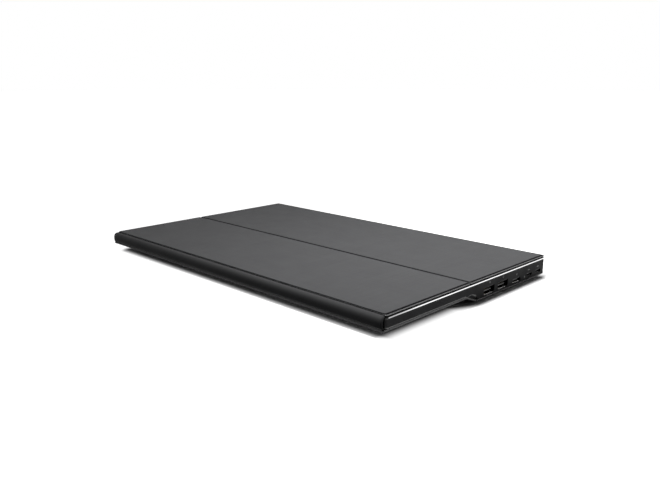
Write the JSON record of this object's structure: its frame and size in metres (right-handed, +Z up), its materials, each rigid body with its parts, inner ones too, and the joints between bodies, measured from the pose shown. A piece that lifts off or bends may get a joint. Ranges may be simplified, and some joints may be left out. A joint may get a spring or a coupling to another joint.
{
  "type": "portable monitor",
  "caption": "Slim portable monitor, closed in its folio cover: stiff cover panels with a crease, rounded spine, bright side trim, stepped back with side sockets.",
  "frame": {"origin": "under the middle of the closed monitor, on the surface its feet stand on", "axes": "+X along the spine towards the side with the sockets, +Y from the spine to the rear edge, +Z up through the cover"},
  "size_m": [0.3226, 0.203, 0.017],
  "materials": {
    "shell_plastic": "fine satin grain",
    "frame_plastic": "satin",
    "trim_metal": "polished",
    "panel_glass": "matte anti-glare",
    "white_film": "pearl film",
    "clear_guide": "clear moulding",
    "frame_white": "moulded",
    "tray_metal": "pressed sheet",
    "board_green": "coated laminate",
    "film_amber": "flexible film",
    "chip_black": "moulded",
    "part_grey": "moulded",
    "socket_steel": "plated sheet",
    "shield_steel": "plated sheet",
    "insert_plastic": "moulded",
    "light_plastic": "frosted",
    "button_plastic": "satin",
    "foot_rubber": "soft",
    "screw_steel": "blackened",
    "plate_steel": "pressed sheet",
    "magnet_metal": "plated",
    "cover_board": "stiff sheet",
    "cover_skin": "fine woven look",
    "flap_sheet": "fine grain sheet",
    "spine_leather": "satin leather look",
    "spine_form": "formed",
    "cover_lining": "short nap",
    "tape_white": "adhesive sheet"
  },
  "bodies": {
    "monitor": {"rear_cover": "shell_plastic", "front_bezel": "frame_plastic", "chrome_trim": "trim_metal", "lcd_cell": "panel_glass", "diffuser_sheet": "white_film", "prism_sheet": "white_film", "light_guide": "clear_guide", "light_bar": "white_film", "reflector_sheet": "white_film", "panel_frame": "frame_white", "panel_tray": "tray_metal", "support_plate": "plate_steel", "timing_board": "board_green", "drive_films": "film_amber", "display_cable": "film_amber", "main_board": "board_green", "scaler_chip": "chip_black", "board_shield": "shield_steel", "power_parts": "part_grey", "board_sockets": "frame_white", "video_port_1": "socket_steel", "video_port_1_insert": "insert_plastic", "video_port_2": "socket_steel", "video_port_2_insert": "insert_plastic", "mini_video_port": "socket_steel", "mini_video_port_insert": "insert_plastic", "power_port_1": "socket_steel", "power_port_1_insert": "insert_plastic", "power_port_2": "socket_steel", "power_port_2_insert": "insert_plastic", "status_light": "light_plastic", "button_board": "board_green", "button_switches": "chip_black", "button_ribbon": "film_amber", "rubber_feet": "foot_rubber", "case_screws": "screw_steel", "board_screws": "screw_steel", "catch_magnets": "magnet_metal", "flap_tape": "tape_white", "flap_board": "cover_board", "flap_skin": "flap_sheet"},
    "spine": {"spine_core": "spine_form", "spine_skin": "spine_leather", "spine_base": "flap_sheet", "spine_web": "flap_sheet"},
    "near_panel": {"near_panel_board": "cover_board", "near_panel_skin": "cover_skin", "near_panel_lining": "cover_lining", "groove_web": "spine_leather", "crease_web": "cover_skin"},
    "far_panel": {"far_panel_board": "cover_board", "far_panel_skin": "cover_skin", "far_panel_lining": "cover_lining", "cover_magnets": "magnet_metal"},
    "menu_button": {"menu_button": "button_plastic"},
    "minus_button": {"minus_button": "button_plastic"},
    "plus_button": {"plus_button": "button_plastic"},
    "power_button": {"power_button": "button_plastic"}
  },
  "joints": [
    {"name": "spine_hinge", "type": "hinge", "parent": "monitor", "child": "spine", "pos_m": [0, -0.0979, 0.00515], "axis": [1, 0, 0], "range_deg": [0, 180], "deforming": ["spine_web"]},
    {"name": "cover_hinge", "type": "hinge", "parent": "spine", "child": "near_panel", "pos_m": [0, -0.09707, 0.01625], "axis": [1, 0, 0], "range_deg": [0, 115], "deforming": ["groove_web"]},
    {"name": "crease_hinge", "type": "hinge", "parent": "near_panel", "child": "far_panel", "pos_m": [0, -0.0056, 0.01655], "axis": [1, 0, 0], "range_deg": [0, 122], "deforming": ["crease_web"]},
    {"name": "menu_button_press", "type": "slide", "parent": "monitor", "child": "menu_button", "axis": [1, 0, 0], "range_m": [0, 0.0005], "stiffness_N_per_m": 2000},
    {"name": "minus_button_press", "type": "slide", "parent": "monitor", "child": "minus_button", "axis": [1, 0, 0], "range_m": [0, 0.0005], "stiffness_N_per_m": 2000},
    {"name": "plus_button_press", "type": "slide", "parent": "monitor", "child": "plus_button", "axis": [1, 0, 0], "range_m": [0, 0.0005], "stiffness_N_per_m": 2000},
    {"name": "power_button_press", "type": "slide", "parent": "monitor", "child": "power_button", "axis": [1, 0, 0], "range_m": [0, 0.0005], "stiffness_N_per_m": 2000}
  ]
}
